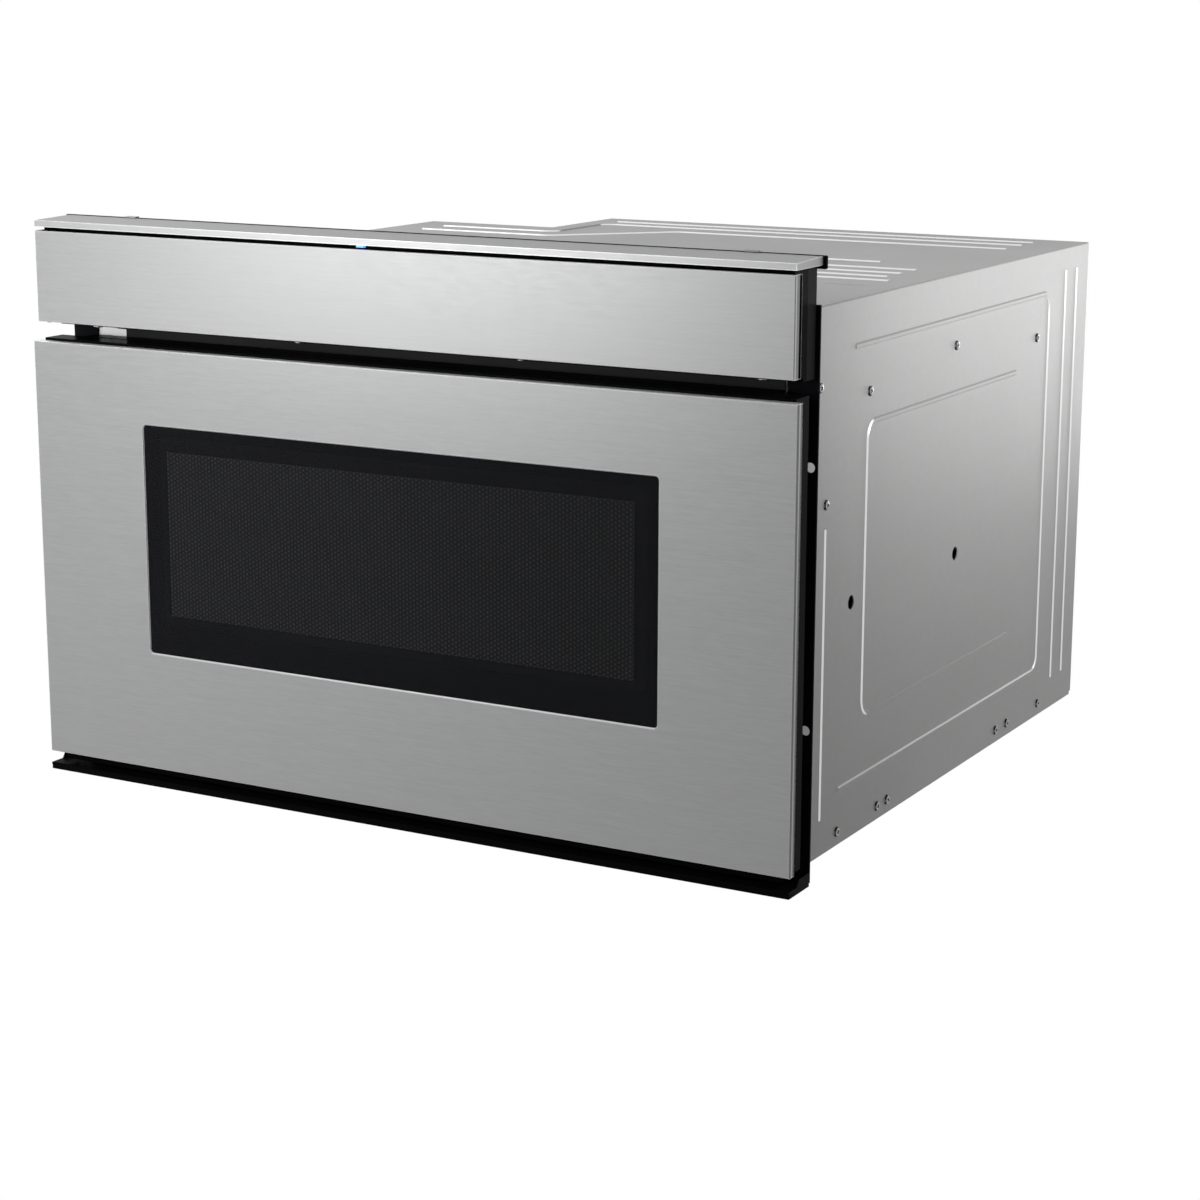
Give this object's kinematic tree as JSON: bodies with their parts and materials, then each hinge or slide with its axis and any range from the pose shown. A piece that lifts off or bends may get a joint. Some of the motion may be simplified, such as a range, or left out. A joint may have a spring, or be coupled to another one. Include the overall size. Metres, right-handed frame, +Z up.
{
  "type": "microwave drawer",
  "caption": "Built-in microwave drawer: stainless front with dark window slides out on rails, a tilting control strip above, sheet-metal housing behind.",
  "frame": {"origin": "middle of the whole object's plan, at the underside of the housing", "axes": "+X to the right seen from the front, +Y to the back, +Z up; the drawer faces -Y"},
  "size_m": [0.5986, 0.5906, 0.4064],
  "materials": {
    "stainless": "brushed",
    "galvanised": "satin galvanised",
    "black_sheet": "satin black",
    "cavity_enamel": "satin grey enamel",
    "steel_plain": "zinc plated",
    "screw_zinc": "zinc plated",
    "black_plastic": "moulded",
    "light_plastic": "moulded",
    "nylon": "moulded",
    "dark_glass": "tinted",
    "clear_glass": "clear",
    "lamp_glass": "clear",
    "blue_lens": "clear blue",
    "aluminium": "mill",
    "laminated_iron": "varnished",
    "copper_winding": "enamelled",
    "can_metal": "plain",
    "board_green": "lacquered",
    "rubber": "matt",
    "mica": "flat"
  },
  "bodies": {
    "housing": {"air_duct": "black_plastic", "back_panel": "galvanised", "base_chassis": "galvanised", "bottom_sash": "black_sheet", "case_wrap": "galvanised", "cavity_front_plate": "galvanised", "cavity_shell": "cavity_enamel", "cavity_vents": "cavity_enamel", "control_housing": "black_plastic", "cord_bushing": "rubber", "drive_bracket": "galvanised", "drive_motor": "black_plastic", "fan_motor": "can_metal", "fan_shroud": "black_plastic", "housing_screws": "screw_zinc", "hv_capacitor": "can_metal", "hv_transformer_core": "laminated_iron", "hv_transformer_windings": "copper_winding", "interlock_switches": "black_plastic", "magnetron": "aluminium", "mounting_flange": "black_sheet", "noise_filter_board": "board_green", "oven_lamp": "lamp_glass", "power_board": "board_green", "rail_outer_left": "steel_plain", "rail_outer_right": "steel_plain", "status_led": "blue_lens", "stirrer_cover": "mica", "stirrer_dome": "galvanised", "stirrer_motor": "can_metal", "thermal_cutouts": "light_plastic", "top_trim": "stainless", "trim_rear_lip": "stainless", "waveguide": "galvanised"},
    "drawer": {"drawer_front_panel": "stainless", "window_glass": "dark_glass", "window_screen": "black_sheet", "door_frame": "black_plastic", "inner_door_plate": "black_sheet", "inner_glass": "clear_glass", "choke_cover": "black_plastic", "drawer_bin": "light_plastic", "glass_tray": "clear_glass", "latch_hooks": "black_plastic", "drawer_screws": "screw_zinc", "drive_rack": "nylon", "drawer_arm_left": "steel_plain", "drawer_arm_right": "steel_plain", "rail_inner_left": "steel_plain", "rail_inner_right": "steel_plain"},
    "rail_middle_left": {"rail_middle_left": "steel_plain"},
    "rail_middle_right": {"rail_middle_right": "steel_plain"},
    "pinion": {"drive_pinion": "nylon"},
    "control_panel": {"control_strip": "stainless", "control_carrier": "black_plastic", "touch_glass": "dark_glass", "control_board": "board_green", "panel_hinge_pins": "steel_plain"},
    "cooling_fan": {"fan_blade": "black_plastic"},
    "stirrer": {"stirrer_blade": "aluminium"}
  },
  "joints": [
    {"name": "drawer_slide", "type": "slide", "parent": "housing", "child": "drawer", "axis": [0, -1, 0], "range_m": [0, 0.38]},
    {"name": "rail_left_slide", "type": "slide", "parent": "housing", "child": "rail_middle_left", "axis": [0, -1, 0], "range_m": [0, 0.19]},
    {"name": "rail_right_slide", "type": "slide", "parent": "housing", "child": "rail_middle_right", "axis": [0, -1, 0], "range_m": [0, 0.19]},
    {"name": "pinion_spin", "type": "hinge", "parent": "housing", "child": "pinion", "pos_m": [0.2397, -0.22928, 0.118], "axis": [1, 0, 0], "range_deg": [0, 1361]},
    {"name": "panel_tilt", "type": "hinge", "parent": "housing", "child": "control_panel", "pos_m": [0, -0.28127, 0.34], "axis": [1, 0, 0], "range_deg": [0, 45]},
    {"name": "fan_spin", "type": "hinge", "parent": "housing", "child": "cooling_fan", "pos_m": [0.132, 0.27973, 0.245], "axis": [0, 1, 0], "continuous": true},
    {"name": "stirrer_spin", "type": "hinge", "parent": "housing", "child": "stirrer", "pos_m": [0, -0.04097, 0.285], "axis": [0, 0, 1], "continuous": true}
  ],
  "couplings": [
    {"joint": "rail_left_slide", "follows": "drawer_slide", "ratio": 0.5},
    {"joint": "rail_right_slide", "follows": "drawer_slide", "ratio": 0.5},
    {"joint": "pinion_spin", "follows": "drawer_slide", "rad_per_m": 62.5}
  ]
}
